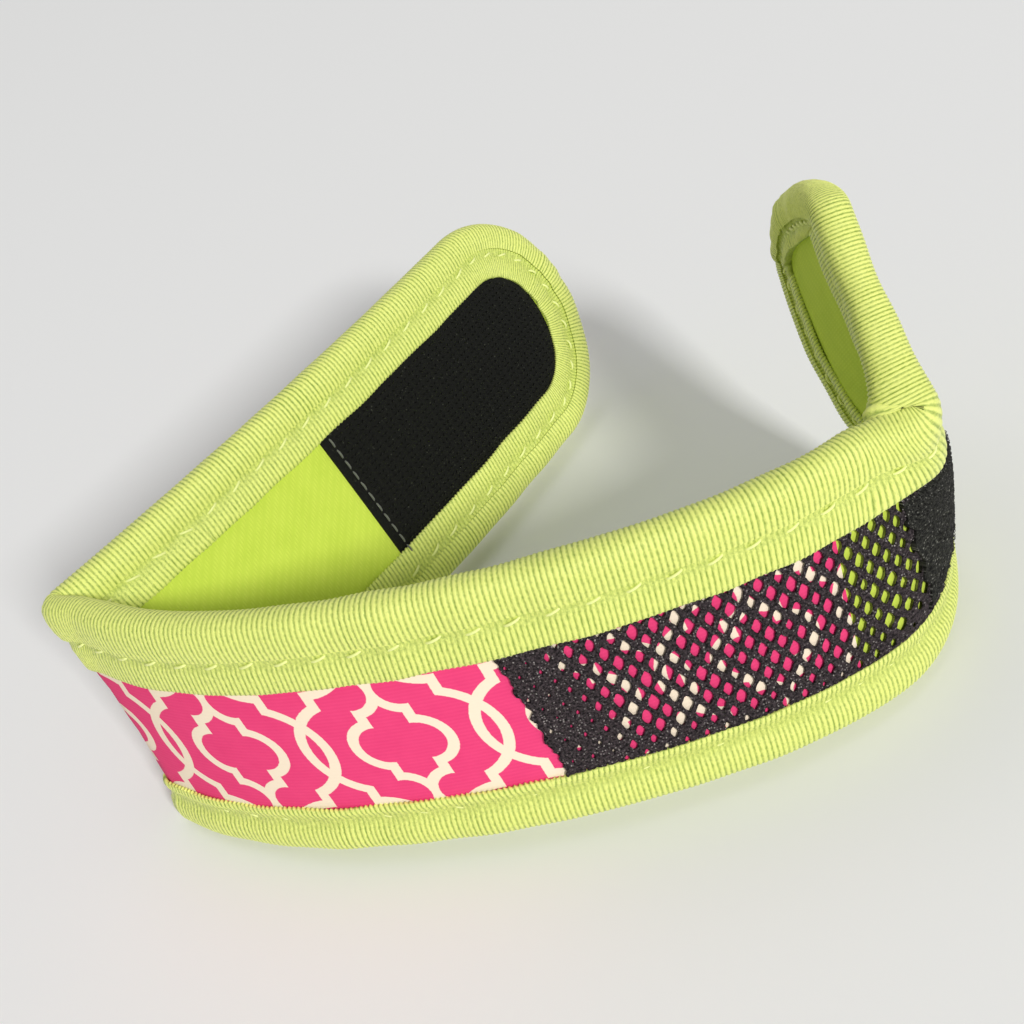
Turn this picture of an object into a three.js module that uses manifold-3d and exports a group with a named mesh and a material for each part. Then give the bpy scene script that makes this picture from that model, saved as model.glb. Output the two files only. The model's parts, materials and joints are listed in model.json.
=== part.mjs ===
// Open neoprene wrap band with a hook-and-loop closure, standing on its lower long edge.
// Millimetres, +Z up. The origin is on the floor under the middle of the front section.
// The strip runs: hook tab, left wing, left fold, front, right fold, right wing.
import * as THREE from 'three';
import { mergeVertices } from 'three/addons/utils/BufferGeometryUtils.js';
import Module from 'manifold-3d';

const wasm = await Module();
wasm.setup();

const rad = THREE.MathUtils.degToRad;

// ---- driving dimensions -------------------------------------------------------------------
const bandWidth = 40;            // across the strip, binding included
const frontLength = 117.4;       // along the front's middle line, between the folds
const leftEndCurve = 0.0223;     // curvature (1/mm) of the front at its left end
const middleCurve = 0.0074;      // of its middle third
const rightEndCurve = 0.03;      // at its right end
const frontTilt = -7.4;          // degrees about X; minus leans the top edge inwards
const frontMiddle = [0, -1, 20]; // middle of the strip at the front's middle

const leftWingLength = 42.4;     // from the left fold to the hook tab's flex line
const hookTabLength = 59.5;      // from the flex line to the end of the hook tab
const leftTipLength = 18.4;      // length of the hook tab's rounded end
const leftWingOffset = [0.1, 3.9, -0.5]; // from the front's left end to where the wing begins
const leftWingHeading = 39.4;    // direction in plan, degrees from +X
const leftWingLean = 20.2;       // degrees that its top edge leans outwards
const leftWingRise = 3.7;        // degrees that the wing climbs towards its tip
const leftWingCurve = -0.0033;   // curvature (1/mm), minus curls outwards

const rightWingLength = 44.2;    // from the right fold to the right tip
const rightTipLength = 9;        // length of the right wing's rounded end
const rightWingOffset = [1.5, 6.5, -0.9];
const rightWingHeading = 105.8;
const rightWingLean = -9.4;
const rightWingRise = 44.7;
const rightWingCurve = -0.0066;

const leftPivotOffset = [-0.8, 1.9];    // in plan, from the front's left end to the fold's axis
const rightPivotOffset = [1.6, 3];      // in plan, from the front's right end to the fold's axis

const upperLeaf = 11;            // binding leaf on the outside, upper edge
const lowerLeaf = 7.8;           // binding leaf on the outside, lower edge
const innerLeaf = 8.9;           // binding leaf on the inside, all round
const tapeThickness = 0.5;
const layerGap = 0.3;            // clearance between pieces that touch
const foamThickness = 1.4;
const jerseyThickness = 0.4;     // lining and facing
const printThickness = 0.25;
const meshThickness = 0.25;
const loopThickness = 0.8;
const hookThickness = 0.6;
const threadWidth = 0.7;
const threadThickness = 0.3;
const seamFromHem = 3.4;         // binding seam, from the leaf's free edge
const patchSeamInset = 1.4;      // hook patch seam, from the patch's straight edge
const foldCoreRadius = 2.2;      // foam rolled up in each fold

const printEnd = 99.8;           // along the front, from the left fold
const meshStart = 58;
const loopStart = 109.6;

// Turning ranges about each fold, in degrees from rest. Plus closes the wrap.
const leftFoldRange = [-98, 15];
const rightFoldRange = [-56, 78];
const tabRange = [-45, 20];
const straight = 89.5;           // half of a straight angle, less a little clearance

const curveStep = 4;             // longest straight piece of a curved layer
const tipSegments = 14;          // straight pieces of half a rounded end
const reach = 130;               // size of the cutting prisms
const frontRunOn = 8;            // how far the front's layers run past a fold before they are cut
const wingRunOn = 22;            // the same for the wings, whose ends are cut aslant
const foldReach = 14;            // how far from a fold the two sides' layers thin out to a wedge
const cutterRunOn = 1;           // how far a cutter runs past what it cuts

// ---- layer levels, measured from the strip's middle surface, plus is the outside ------------
const foamHalf = foamThickness / 2;
const jerseyNear = foamHalf + layerGap;
const jerseyFar = jerseyNear + jerseyThickness;
const skinNear = jerseyFar + layerGap;
const tapeFar = skinNear + tapeThickness;
const printFar = skinNear + printThickness;
const meshNear = printFar + layerGap;
const meshFar = meshNear + meshThickness;
const loopFar = skinNear + loopThickness;
const hookFar = skinNear + hookThickness;
const threadNear = tapeFar + layerGap;
const threadFar = threadNear + threadThickness;
const stackInset = tapeThickness + layerGap;
const windowInset = (upperLeaf + lowerLeaf) / 2 + layerGap;
const windowShift = (lowerLeaf - upperLeaf) / 2;
const leftWingWhole = leftWingLength + hookTabLength;

// ---- materials -----------------------------------------------------------------------------
const paint = (color, roughness) => new THREE.MeshStandardMaterial({ color, roughness, metalness: 0 });
const foamPaint = paint('#2a2b2c', 0.9);
const jerseyPaint = paint('#b9d93f', 0.8);
const printPaint = paint('#f0457f', 0.7);
const meshPaint = paint('#1c1a1b', 0.8);
const loopPaint = paint('#26271f', 0.95);
const hookPaint = paint('#191a13', 0.85);
const bindingPaint = paint('#dbe96a', 0.65);
const threadPaint = paint('#eef0c4', 0.6);

// ---- solids ----------------------------------------------------------------------------------
function toSolid(geometry) {
  const bare = geometry.clone();
  bare.deleteAttribute('normal');
  bare.deleteAttribute('uv');
  const merged = mergeVertices(bare, 1e-4);
  const mesh = new wasm.Mesh({
    numProp: 3,
    vertProperties: new Float32Array(merged.attributes.position.array),
    triVerts: new Uint32Array(merged.index.array),
  });
  return new wasm.Manifold(mesh);
}

function toGeometry(solid) {
  const mesh = solid.getMesh();
  const geometry = new THREE.BufferGeometry();
  geometry.setAttribute('position', new THREE.BufferAttribute(new Float32Array(mesh.vertProperties), 3));
  geometry.setIndex(new THREE.BufferAttribute(new Uint32Array(mesh.triVerts), 1));
  geometry.computeVertexNormals();
  return geometry;
}

// A plan outline (x, y points) pulled up from z0 to z1.
function prism(points, z0, z1) {
  const shape = new THREE.Shape(points.map(([x, y]) => new THREE.Vector2(x, y)));
  const geometry = new THREE.ExtrudeGeometry(shape, { depth: z1 - z0, bevelEnabled: false });
  geometry.translate(0, 0, z0);
  return toSolid(geometry);
}

// ---- plan curves: each returns the point and the outward normal at a distance along it ---------
function frontCurvature(s) {
  const along = s / frontLength;
  const left = Math.max(1 - 3 * along, 0);
  const right = Math.max(3 * along - 2, 0);
  return middleCurve + (leftEndCurve - middleCurve) * left + (rightEndCurve - middleCurve) * right;
}

// The front's middle line, walked from its middle in both directions; straight past its ends.
function frontPath(s) {
  const middle = frontLength / 2;
  const steps = Math.max(1, Math.ceil(Math.abs(s - middle)));
  const ds = (s - middle) / steps;
  let heading = 0;
  let x = 0;
  let y = 0;
  for (let i = 0; i < steps; i += 1) {
    const at = middle + (i + 0.5) * ds;
    const bend = at >= 0 && at <= frontLength ? frontCurvature(at) * ds : 0;
    x += Math.cos(heading + bend / 2) * ds;
    y += Math.sin(heading + bend / 2) * ds;
    heading += bend;
  }
  return { x, y, nx: Math.sin(heading), ny: -Math.cos(heading) };
}

// A wing's middle line in its own frame: along +X. Inside is towards side * Y.
function wingPath(curve, side) {
  return (s) => {
    const turn = s > 0 ? curve * s : 0;
    const x = s > 0 ? Math.sin(turn) / curve : s;
    const y = s > 0 ? (1 - Math.cos(turn)) / curve : 0;
    return { x, y: y * side, nx: Math.sin(turn), ny: -Math.cos(turn) * side };
  };
}

const headingOf = (path, s) => {
  const a = path(s - 0.5);
  const b = path(s + 0.5);
  return Math.atan2(b.y - a.y, b.x - a.x);
};

// One layer of the strip between two stations, two levels and two heights.
function layer(path, [s0, s1], [near, far], [z0, z1]) {
  const count = Math.max(1, Math.ceil((s1 - s0) / curveStep));
  const stations = Array.from({ length: count + 1 }, (_, i) => path(s0 + ((s1 - s0) * i) / count));
  const outer = stations.map((p) => [p.x + p.nx * far, p.y + p.ny * far]);
  const inner = stations.map((p) => [p.x + p.nx * near, p.y + p.ny * near]).reverse();
  return prism([...outer, ...inner], z0, z1);
}

function upright(radius, [x, y], [z0, z1]) {
  const geometry = new THREE.CylinderGeometry(radius, radius, z1 - z0, 24);
  geometry.rotateX(Math.PI / 2);
  geometry.translate(x, y, (z0 + z1) / 2);
  return toSolid(geometry);
}

// A fan of the plan about a point, from one angle to another, as an upright prism.
function fan(pivot, radius, first, last, span) {
  const count = 12;
  const arc = Array.from({ length: count + 1 }, (_, i) => {
    const angle = first + ((last - first) * i) / count;
    return [pivot[0] + radius * Math.cos(angle), pivot[1] + radius * Math.sin(angle)];
  });
  return prism([pivot, ...arc], ...span);
}

// What a body may not enter near a fold: the far side of the axis, all but a wedge close to it,
// and the fold's core. The wedge opens by halfAngles[0] clockwise and halfAngles[1] the other way.
function keepOut(pivot, along, halfAngles, span) {
  const farSide = fan(pivot, reach, along + rad(straight), along - rad(straight) + 2 * Math.PI, span);
  const wedge = fan(
    pivot, foldReach, along + rad(halfAngles[1]), along - rad(halfAngles[0]) + 2 * Math.PI, span);
  return farSide.add(wedge).add(upright(foldCoreRadius + layerGap, pivot, span));
}

// The round-ended outline of a wing, inset from the edge, as a prism through the strip.
function tipOutline(path, length, tipLength, inset, shift = 0) {
  const half = bandWidth / 2 - inset;
  const start = path(length - tipLength);
  const shape = new THREE.Shape();
  shape.moveTo(-reach, -half);
  shape.lineTo(0, -half);
  shape.absellipse(0, 0, Math.max(tipLength - inset, 2), half, -Math.PI / 2, Math.PI / 2, false, 0);
  shape.lineTo(-reach, half);
  const geometry = new THREE.ExtrudeGeometry(shape, {
    depth: reach, bevelEnabled: false, curveSegments: tipSegments,
  });
  geometry.translate(0, 0, -reach / 2);
  geometry.rotateX(Math.PI / 2);
  geometry.rotateZ(headingOf(path, length - tipLength));
  geometry.translate(start.x, start.y, bandWidth / 2 + shift);
  return toSolid(geometry);
}

// ---- the bodies' frames ------------------------------------------------------------------------
const lift = new THREE.Vector3(0, 0, bandWidth / 2);

const frontFrame = new THREE.Group();
frontFrame.rotation.x = rad(frontTilt);
frontFrame.position.set(...frontMiddle).sub(lift.clone().applyQuaternion(frontFrame.quaternion));

frontFrame.updateMatrix();

// The middle of the strip at an end of the front.
function frontEnd(s) {
  const { x, y } = frontPath(s);
  return new THREE.Vector3(x, y, bandWidth / 2).applyMatrix4(frontFrame.matrix);
}
const leftEnd = frontEnd(0).toArray();
const rightEnd = frontEnd(frontLength).toArray();
const offsetFrom = (end, offset) => offset.map((distance, axis) => end[axis] + distance);
const leftPivot = offsetFrom(leftEnd, leftPivotOffset);
const rightPivot = offsetFrom(rightEnd, rightPivotOffset);

// A wing's frame: X along the wing, Z across the strip. Inside is towards side * Y.
function wingFrame(start, heading, lean, rise, side) {
  const frame = new THREE.Group();
  const turn = new THREE.Quaternion().setFromAxisAngle(new THREE.Vector3(0, 0, 1), rad(heading));
  const leaning = new THREE.Quaternion().setFromAxisAngle(new THREE.Vector3(1, 0, 0), rad(lean) * side);
  const rising = new THREE.Quaternion().setFromAxisAngle(new THREE.Vector3(0, 1, 0), -rad(rise));
  frame.quaternion.copy(turn).multiply(leaning).multiply(rising);
  frame.position.set(...start).sub(lift.clone().applyQuaternion(frame.quaternion));
  frame.updateMatrix();
  return frame;
}

const leftFrame = wingFrame(
  offsetFrom(leftEnd, leftWingOffset), leftWingHeading, leftWingLean, leftWingRise, -1);
const rightFrame = wingFrame(
  offsetFrom(rightEnd, rightWingOffset), rightWingHeading, rightWingLean, rightWingRise, 1);

// A solid that stands in the design's frame, brought into a body's own frame.
function intoFrame(solid, frame) {
  const geometry = toGeometry(solid);
  geometry.applyMatrix4(frame.matrix.clone().invert());
  return toSolid(geometry);
}

// ---- how far each body may reach into its folds ---------------------------------------------------
const tall = [-reach, reach];
const frontEndHeading = headingOf(frontPath, frontLength + 1);
const frontStartHeading = headingOf(frontPath, -1);
const leftRestAngle = leftWingHeading - THREE.MathUtils.radToDeg(frontStartHeading);
const rightRestAngle = THREE.MathUtils.radToDeg(frontEndHeading) + 180 - rightWingHeading;
const leftInside = (leftRestAngle - leftFoldRange[1]) / 2 - 0.5;
const rightInside = (rightRestAngle - rightFoldRange[1]) / 2 - 0.5;
const tabInside = (180 - tabRange[1]) / 2 - 0.5;
const tabOutside = (180 + tabRange[0]) / 2 - 0.5;

const leftPath = wingPath(leftWingCurve, -1);
const rightPath = wingPath(rightWingCurve, 1);
const tabPivot = [leftPath(leftWingLength).x, leftPath(leftWingLength).y];
const tabHeading = headingOf(leftPath, leftWingLength);

const frontKeepOut = intoFrame(
  keepOut(leftPivot, frontStartHeading, [straight, leftInside], tall)
    .add(keepOut(rightPivot, frontEndHeading + Math.PI, [rightInside, straight], tall)),
  frontFrame,
);
const leftKeepOut = intoFrame(
  keepOut(leftPivot, rad(leftWingHeading), [leftInside, straight], tall), leftFrame,
).add(keepOut(tabPivot, tabHeading + Math.PI, [tabOutside, tabInside], tall));
const tabKeepOut = keepOut(tabPivot, tabHeading, [tabInside, tabOutside], tall);
// The right wing climbs steeply, so its lower corner at the fold is cut level with the front's
// lower edge, which the band stands on.
const lowerEnds = [0, frontLength].map((s) => frontPath(s))
  .map(({ x, y }) => new THREE.Vector3(x, y, 0).applyMatrix4(frontFrame.matrix).z);
const standLevel = Math.min(...lowerEnds) + layerGap;
const below = [[-reach, -reach], [reach, -reach], [reach, reach], [-reach, reach]];
const rightKeepOut = intoFrame(
  keepOut(rightPivot, rad(rightWingHeading), [straight, rightInside], tall)
    .add(prism(below, -reach, standLevel)),
  rightFrame,
);

// ---- the strip's sections ------------------------------------------------------------------------
// A section knows its middle line, its stations, its rounded end and what it may not enter.
const sections = {
  front: { path: frontPath, from: -frontRunOn, to: frontLength + frontRunOn, keepOut: frontKeepOut },
  left: { path: leftPath, from: -wingRunOn, to: leftWingLength + 6, keepOut: leftKeepOut },
  tab: {
    path: leftPath, from: leftWingLength - 6, to: leftWingWhole + 2, keepOut: tabKeepOut,
    length: leftWingWhole, tip: leftTipLength,
  },
  right: {
    path: rightPath, from: -wingRunOn, to: rightWingLength + 2, keepOut: rightKeepOut,
    length: rightWingLength, tip: rightTipLength,
  },
};

// A sheet of the strip between two levels, inset from the edges. It may stop at stations of its own.
function uncutSheet(section, levels, inset, { shift = 0, from = section.from, to = section.to } = {}) {
  const span = [inset + shift, bandWidth - inset + shift];
  const solid = layer(section.path, [from, to], levels, span);
  if (!section.length) {
    return solid;
  }
  return solid.intersect(tipOutline(section.path, section.length, section.tip, inset, shift));
}

const sheet = (section, ...rest) => uncutSheet(section, ...rest).subtract(section.keepOut);

// The same sheet as a cutter, which runs past the ends of what it cuts.
const cutter = (section, levels, inset, shift = 0) => uncutSheet(section, levels, inset, {
  shift, from: section.from - cutterRunOn, to: section.to + cutterRunOn,
});

const outward = (near, far) => [near, far];
const inward = (near, far) => [-far, -near];

// The channel of tape folded over the strip's edge.
function binding(section) {
  const beyond = tapeFar + cutterRunOn;
  return uncutSheet(section, [-tapeFar, tapeFar], 0)
    .subtract(cutter(section, [-skinNear, skinNear], tapeThickness))
    .subtract(cutter(section, outward(0, beyond), windowInset - layerGap, windowShift))
    .subtract(cutter(section, inward(0, beyond), innerLeaf))
    .subtract(section.keepOut);
}

// The raised line of thread that holds the tape, on one face.
function seam(section, [near, far], inset, shift) {
  return uncutSheet(section, [near, far], inset - threadWidth / 2, { shift })
    .subtract(cutter(section, [near - cutterRunOn, far + cutterRunOn], inset + threadWidth / 2, shift))
    .subtract(section.keepOut);
}

const part = new THREE.Group();
part.add(frontFrame, leftFrame, rightFrame);

function add(frame, name, solid, material) {
  const mesh = new THREE.Mesh(toGeometry(solid), material);
  mesh.name = name;
  frame.add(mesh);
}

// A piece that a rounded end joins is one mesh, and otherwise its upper and lower run are two.
function addRuns(frame, name, solid, material) {
  const speck = 0.5; // mm3, below which a piece is only a cutting remnant
  const height = (run) => run.boundingBox().max[2];
  const runs = solid.decompose().filter((run) => run.volume() > speck);
  runs.sort((a, b) => height(b) - height(a));
  const endings = runs.length === 1 ? [''] : ['_upper', '_lower'];
  endings.forEach((ending, i) => add(frame, name + ending, runs[i], material));
}

const bodies = [['front', frontFrame], ['left', leftFrame], ['tab', leftFrame], ['right', rightFrame]];
const threadOut = outward(threadNear, threadFar);
const threadIn = inward(threadNear, threadFar);
const outerSeamInset = windowInset - layerGap - seamFromHem;
const innerSeamInset = innerLeaf - seamFromHem;
for (const [name, frame] of bodies) {
  const section = sections[name];
  add(frame, `${name}_foam_core`, sheet(section, [-foamHalf, foamHalf], stackInset), foamPaint);
  add(frame, `${name}_lining`, sheet(section, inward(jerseyNear, jerseyFar), stackInset), jerseyPaint);
  add(frame, `${name}_facing`, sheet(section, outward(jerseyNear, jerseyFar), stackInset), jerseyPaint);
  addRuns(frame, `${name}_binding`, binding(section), bindingPaint);
  addRuns(frame, `${name}_outer_seam`, seam(section, threadOut, outerSeamInset, windowShift), threadPaint);
  addRuns(frame, `${name}_inner_seam`, seam(section, threadIn, innerSeamInset, 0), threadPaint);
}

// What the outer and the inner window show, between the binding's leaves.
function outerPanel(section, far, stations = {}) {
  return sheet(section, outward(skinNear, far), windowInset, { shift: windowShift, ...stations });
}

add(frontFrame, 'front_print_panel', outerPanel(sections.front, printFar, { to: printEnd }), printPaint);
add(leftFrame, 'left_print_panel', outerPanel(sections.left, printFar), printPaint);
add(leftFrame, 'tab_print_panel', outerPanel(sections.tab, printFar), printPaint);
add(frontFrame, 'mesh_overlay', sheet(sections.front, outward(meshNear, meshFar), windowInset, {
  shift: windowShift, from: meshStart, to: loopStart - layerGap,
}), meshPaint);
add(frontFrame, 'front_loop_panel', outerPanel(sections.front, loopFar, { from: loopStart }), loopPaint);
add(rightFrame, 'right_loop_panel', outerPanel(sections.right, loopFar), loopPaint);

const patchInset = innerLeaf + layerGap;
add(leftFrame, 'hook_patch', sheet(sections.tab, inward(skinNear, hookFar), patchInset), hookPaint);
const patchSeamStart = leftWingLength + patchSeamInset;
const patchSeamNear = hookFar + layerGap;
add(leftFrame, 'hook_patch_seam', sheet(
  sections.tab, inward(patchSeamNear, patchSeamNear + threadThickness), patchInset,
  { from: patchSeamStart, to: patchSeamStart + threadWidth },
), threadPaint);

// The foam rolled up in each fold stands on the fold's axis.
const coreHeight = [stackInset, bandWidth - stackInset];
add(leftFrame, 'tab_fold_core', upright(foldCoreRadius, tabPivot, coreHeight), foamPaint);
add(part, 'left_fold_core', upright(foldCoreRadius, leftPivot, coreHeight), foamPaint);
add(part, 'right_fold_core', upright(foldCoreRadius, rightPivot, coreHeight), foamPaint);

// Set the whole part down with its middle over the origin.
part.updateMatrixWorld(true);
const extent = new THREE.Box3().setFromObject(part, true);
part.position.set(-(extent.min.x + extent.max.x) / 2, -(extent.min.y + extent.max.y) / 2, -extent.min.z);
part.updateMatrixWorld(true);

export default part;
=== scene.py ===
"""Open padded wrap wristband with a hook-and-loop closure, standing on its long edge.

The strip is one soft laminate: neoprene foam between two jersey layers, bound all round with
ribbed tape. Its outside carries a printed panel, a knitted mesh overlay and a loop panel, and
its inside a hook patch. Lengths are in millimetres and become metres when a mesh is made.
Positions on the strip are (u, v, level): u along it, from the left fold, v across it, from its
middle, and level through it, plus being the outside.
"""
from __future__ import annotations

import json
import logging
import math
from dataclasses import dataclass, field
from enum import Enum
from typing import Callable, ClassVar, Sequence

import bmesh
import bpy
import numpy as np
from mathutils import Matrix, Vector


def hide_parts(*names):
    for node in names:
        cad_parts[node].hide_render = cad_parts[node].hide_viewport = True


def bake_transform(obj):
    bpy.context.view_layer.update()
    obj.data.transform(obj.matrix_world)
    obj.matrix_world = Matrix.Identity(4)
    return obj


LOG = logging.getLogger("wristband")
MM = 0.001
Array = np.ndarray
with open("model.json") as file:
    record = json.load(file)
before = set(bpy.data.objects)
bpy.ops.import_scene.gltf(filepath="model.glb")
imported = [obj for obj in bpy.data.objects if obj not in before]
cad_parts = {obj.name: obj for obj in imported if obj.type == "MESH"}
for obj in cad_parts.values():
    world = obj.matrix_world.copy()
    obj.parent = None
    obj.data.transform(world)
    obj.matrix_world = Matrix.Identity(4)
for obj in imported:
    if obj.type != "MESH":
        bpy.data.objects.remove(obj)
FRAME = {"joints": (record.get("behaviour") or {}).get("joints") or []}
JOINTS = {joint["name"]: joint for joint in FRAME["joints"]}
SHARP_FROM = math.radians(62)  # faces that meet at more than this keep a sharp edge


# ---- small helpers ---------------------------------------------------------------------------

def smoothstep(x: Array, low: float, high: float) -> Array:
    """Rise smoothly from 0 at low to 1 at high: 3 t^2 - 2 t^3."""
    t = np.clip((x - low) / (high - low), 0.0, 1.0)
    return t * t * (3 - 2 * t)


def bump(x: Array, centre: float, width: float) -> Array:
    """A bell of height 1 about centre: exp(-((x - centre) / width)^2)."""
    return np.exp(-(((x - centre) / width) ** 2))


def unit(vectors: Array) -> Array:
    """Scale vectors along the last axis to length 1."""
    return vectors / np.maximum(np.linalg.norm(vectors, axis=-1, keepdims=True), 1e-12)


def waves(x: Array, seed: int, shortest: float, longest: float, count: int = 7) -> Array:
    """Smooth uneven handwork: a sum of sines of random wavelength and phase, about -1 to 1."""
    draw = np.random.default_rng(seed)
    lengths = draw.uniform(shortest, longest, count)
    phases = draw.uniform(0, 2 * math.pi, count)
    terms = np.sin(2 * math.pi * np.asarray(x)[..., None] / lengths + phases)
    return terms.sum(axis=-1) / math.sqrt(count)


def rotation(axis: str, degrees: float) -> Array:
    """The 3 by 3 matrix that turns by degrees about X, Y or Z."""
    c, s = math.cos(math.radians(degrees)), math.sin(math.radians(degrees))
    rows = {"X": [[1, 0, 0], [0, c, -s], [0, s, c]],
            "Y": [[c, 0, s], [0, 1, 0], [-s, 0, c]],
            "Z": [[c, -s, 0], [s, c, 0], [0, 0, 1]]}
    return np.array(rows[axis], dtype=float)


def grid_faces(rows: int, columns: int, wrap: bool) -> Array:
    """Quads of a grid of rows by columns; wrap closes each row on itself."""
    i = np.arange(rows - 1)[:, None]
    j = np.arange(columns if wrap else columns - 1)[None, :]
    k = (j + 1) % columns
    a, b = i * columns + j, i * columns + k
    c, d = (i + 1) * columns + k, (i + 1) * columns + j
    return np.stack([a, b, c, d], axis=-1).reshape(-1, 4)


def make_mesh(name: str, points: Array, faces: Sequence, uv: Array | None = None,
              painted_rib_light: Array | None = None) -> bpy.types.Object:
    """Make an object from points in millimetres.

    Args:
        name: the piece's name.
        points: N by 3 positions in the strap's own frame, in mm.
        faces: lists or an array of vertex numbers.
        uv: N by 2 positions on the cloth, in mm, for patterns that follow it.
        painted_rib_light: N values from 0 to 1, kept as the attribute "painted_rib_light", which paints
            highlight at 1 and shade at 0.

    Returns:
        The object, linked to the scene, with its faces pointing out.
    """
    mesh = bpy.data.meshes.new(name)
    mesh.from_pydata((points * MM).tolist(), [], [list(map(int, f)) for f in faces])
    if signed_volume(mesh) < 0:
        mesh.flip_normals()
    if uv is not None:
        layer = mesh.uv_layers.new(name="UVMap")
        corners = np.empty(len(mesh.loops), dtype=np.int32)
        mesh.loops.foreach_get("vertex_index", corners)
        layer.data.foreach_set("uv", uv[corners].astype(np.float32).ravel())
    if painted_rib_light is not None:
        attribute = mesh.attributes.new("painted_rib_light", "FLOAT", "POINT")
        attribute.data.foreach_set("value", np.clip(painted_rib_light, 0, 1).astype(np.float32))
    mesh.polygons.foreach_set("use_smooth", np.full(len(mesh.polygons), True))
    mesh.validate()
    mesh.set_sharp_from_angle(angle=SHARP_FROM)
    mesh.update()
    piece = bpy.data.objects.new(name, mesh)
    bpy.context.scene.collection.objects.link(piece)
    return piece


def signed_volume(mesh: bpy.types.Mesh) -> float:
    """Six times the volume inside the faces: plus if they point out."""
    mesh.calc_loop_triangles()
    co = np.empty(len(mesh.vertices) * 3)
    mesh.vertices.foreach_get("co", co)
    tri = np.empty(len(mesh.loop_triangles) * 3, dtype=np.int32)
    mesh.loop_triangles.foreach_get("vertices", tri)
    a, b, c = np.moveaxis(co.reshape(-1, 3)[tri.reshape(-1, 3)], 1, 0)
    return float(np.einsum("ij,ij->", a, np.cross(b, c)))


# ---- the strip's middle surface -----------------------------------------------------------------

@dataclass(frozen=True)
class Wing:
    """One free end of the strip: a gently curled arc in a tilted frame.

    x = sin(k s) / k and y = (1 - cos(k s)) / k in the frame, with k the curl.
    """
    offset: tuple[float, float, float]
    heading: float
    lean: float
    rise: float
    curl: float
    side: float
    length: float
    tip_length: float
    tip_skew: float

    @property
    def axes(self) -> Array:
        """The frame's axes as columns: along, inwards or outwards, and across the strip."""
        return rotation("Z", self.heading) @ rotation("X", self.lean * self.side) @ rotation("Y", -self.rise)

    def middle(self, s: Array, start: Array) -> Array:
        """Points of the middle line at the distances s from the fold."""
        turn = self.curl * s
        local = np.stack([np.sin(turn) / self.curl, (1 - np.cos(turn)) / self.curl * self.side,
                          np.zeros_like(s)], axis=-1)
        return start + local @ self.axes.T

    @property
    def across(self) -> Array:
        """The direction across the strip, towards its upper edge."""
        return self.axes[:, 2]


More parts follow.
